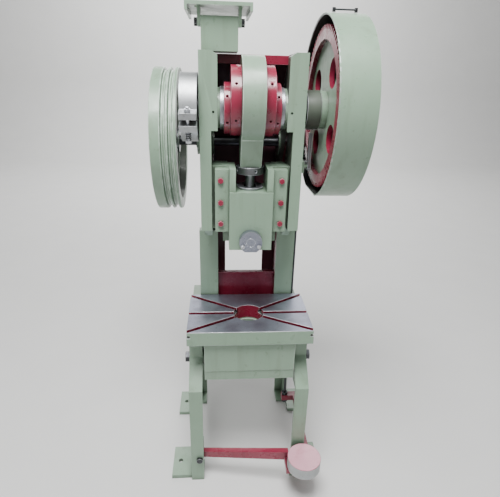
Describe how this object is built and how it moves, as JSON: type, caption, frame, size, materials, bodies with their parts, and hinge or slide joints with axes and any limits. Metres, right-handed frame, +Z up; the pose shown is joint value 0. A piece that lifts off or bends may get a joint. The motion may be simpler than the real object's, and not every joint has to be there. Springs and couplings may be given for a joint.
{
  "type": "tablet press",
  "caption": "Geared C-frame press for pressing tablets, with crank-driven ram, slotted table, guarded gear train, flywheel, band brake and foot pedal on two legs.",
  "frame": {"origin": "on the floor, under the middle of the whole press's bounding box", "axes": "+Z up, the operator stands on the -Y side and faces +Y, +X to the operator's right, towards the gear guard"},
  "size_m": [0.649, 0.8678, 1.65],
  "materials": {
    "sage_paint": "semi-gloss sage green machine enamel over cast iron and sheet steel",
    "red_paint": "glossy crimson enamel",
    "dark_red_paint": "dull dark maroon paint",
    "machined_steel": "ground and milled bare steel",
    "dark_steel": "oiled dark steel",
    "bright_steel": "bright plated steel",
    "bronze": "machined bearing bronze"
  },
  "bodies": {
    "frame": {"left_leg": "sage_paint", "right_leg": "sage_paint", "front_through_bolt": "dark_steel", "rear_through_bolt": "dark_steel", "left_cheek": "sage_paint", "right_cheek": "sage_paint", "bed_casting": "sage_paint", "rear_wall": "dark_red_paint", "lower_cross_web": "red_paint", "top_tie_bar": "red_paint", "table_plate": "machined_steel", "left_gib": "sage_paint", "right_gib": "sage_paint", "left_gib_bolt_1": "red_paint", "left_gib_bolt_2": "red_paint", "left_gib_bolt_3": "red_paint", "right_gib_bolt_1": "red_paint", "right_gib_bolt_2": "red_paint", "right_gib_bolt_3": "red_paint", "left_crank_bush": "bronze", "right_crank_bush": "bronze", "left_shaft_bearing": "dark_steel", "right_shaft_bearing": "dark_steel", "gear_guard": "sage_paint", "guard_stay": "dark_steel", "brake_band": "sage_paint", "brake_bolt": "bright_steel", "brake_spring": "dark_steel", "brake_anchor": "dark_steel", "trip_bracket": "sage_paint", "pedal_pin": "dark_steel", "return_spring": "dark_steel", "motor_post": "sage_paint", "motor_hinge_pin": "dark_steel"},
    "crank": {"crankshaft": "machined_steel", "eccentric_sleeve": "red_paint", "eccentric_flange": "red_paint", "left_lock_disc": "red_paint", "right_lock_disc": "red_paint", "brake_drum": "dark_steel", "clutch_hub": "machined_steel", "clutch_key": "bright_steel", "crank_end_nut": "machined_steel"},
    "connecting_rod": {"connecting_rod": "sage_paint", "adjusting_screw": "machined_steel", "lock_nut": "machined_steel"},
    "ram": {"ram": "sage_paint", "cup_ring": "machined_steel", "punch_clamp_cap": "bright_steel", "left_clamp_stud": "bright_steel", "right_clamp_stud": "bright_steel"},
    "gear": {"main_gear": "red_paint"},
    "flywheel": {"back_shaft": "dark_steel", "flywheel": "sage_paint", "pinion": "dark_steel"},
    "pedal": {"pedal_lever": "red_paint", "pedal_pad": "red_paint"},
    "pull_rod": {"pull_rod": "dark_steel"},
    "trip_lever": {"trip_lever": "machined_steel"},
    "motor_plate": {"motor_plate": "sage_paint"}
  },
  "joints": [
    {"name": "crank_turn", "type": "hinge", "parent": "frame", "child": "crank", "pos_m": [0.0065, -0.07793, 1.358], "axis": [1, 0, 0], "range_deg": [0, 180]},
    {"name": "rod_upright", "type": "hinge", "parent": "crank", "child": "connecting_rod", "pos_m": [0.0065, -0.07793, 1.38], "axis": [1, 0, 0], "range_deg": [-180.1, 0]},
    {"name": "ram_slide", "type": "slide", "parent": "frame", "child": "ram", "axis": [0, 0, -1], "range_m": [0, 0.0441]},
    {"name": "flywheel_spin", "type": "hinge", "parent": "frame", "child": "flywheel", "pos_m": [0.0065, 0.17594, 1.222], "axis": [1, 0, 0], "continuous": true},
    {"name": "gear_spin", "type": "hinge", "parent": "frame", "child": "gear", "pos_m": [0.0065, -0.07793, 1.358], "axis": [1, 0, 0], "continuous": true},
    {"name": "pedal_press", "type": "hinge", "parent": "frame", "child": "pedal", "pos_m": [-0.1745, -0.26793, 0.105], "axis": [0, 1, 0], "range_deg": [0, 5], "stiffness_Nm_per_rad": 200, "springref_deg": -14.32},
    {"name": "rod_pull", "type": "slide", "parent": "frame", "child": "pull_rod", "axis": [0, 0, -1], "range_m": [0, 0.03213], "deforming": ["return_spring"]},
    {"name": "trip_turn", "type": "hinge", "parent": "frame", "child": "trip_lever", "pos_m": [0.2035, -0.07993, 1.176], "axis": [-1, 0, 0], "range_deg": [0, 20.95]},
    {"name": "motor_plate_tilt", "type": "hinge", "parent": "frame", "child": "motor_plate", "pos_m": [-0.0935, -0.06393, 1.6], "axis": [1, 0, 0], "range_deg": [-5, 10]}
  ],
  "couplings": [
    {"joint": "rod_upright", "follows": "crank_turn", "ratio": -1},
    {"joint": "ram_slide", "follows": "crank_turn", "m_per_rad": 0.014006},
    {"joint": "gear_spin", "follows": "flywheel_spin", "ratio": -0.2},
    {"joint": "rod_pull", "follows": "pedal_press", "m_per_rad": 0.367},
    {"joint": "trip_turn", "follows": "pedal_press", "ratio": 4.1704}
  ]
}
